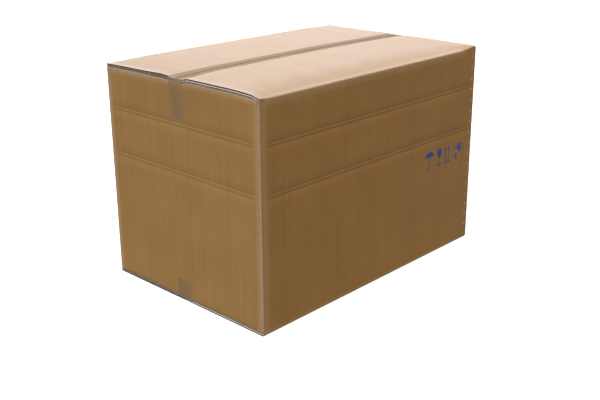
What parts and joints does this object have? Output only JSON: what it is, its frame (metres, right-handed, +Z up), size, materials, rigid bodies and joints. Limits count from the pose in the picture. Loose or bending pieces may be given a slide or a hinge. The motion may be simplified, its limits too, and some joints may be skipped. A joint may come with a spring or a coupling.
{
  "type": "triple wall corrugated box",
  "caption": "Large closed shipping carton of triple wall corrugated board, folded from one sheet, with a stapled lap joint, taped flap seams, height creases and printed handling marks.",
  "frame": {"origin": "middle of the underside, on the surface that the carton stands on", "axes": "+X along the length, towards the end that has the stapled lap joint; +Y across the width, away from the long panel with the printed marks; +Z up"},
  "size_m": [1.2254, 0.8052, 0.8422],
  "materials": {
    "kraft_board": "matt brown kraft liner",
    "tape_film": "clear brown film with a soft gloss",
    "staple_wire": "coppered flat steel wire",
    "blue_ink": "matt blue printing ink"
  },
  "bodies": {
    "root": {"carton": "kraft_board", "top_tape": "tape_film", "bottom_tape": "tape_film", "staple_01": "staple_wire", "staple_02": "staple_wire", "staple_03": "staple_wire", "staple_04": "staple_wire", "staple_05": "staple_wire", "staple_06": "staple_wire", "staple_07": "staple_wire", "staple_08": "staple_wire", "staple_09": "staple_wire", "staple_10": "staple_wire", "staple_11": "staple_wire", "staple_12": "staple_wire", "staple_13": "staple_wire", "staple_14": "staple_wire", "staple_15": "staple_wire", "staple_16": "staple_wire", "staple_17": "staple_wire", "mark_umbrella": "blue_ink", "mark_glass": "blue_ink", "mark_arrows": "blue_ink", "mark_sun": "blue_ink", "mark_shelter": "blue_ink"}
  },
  "joints": []
}
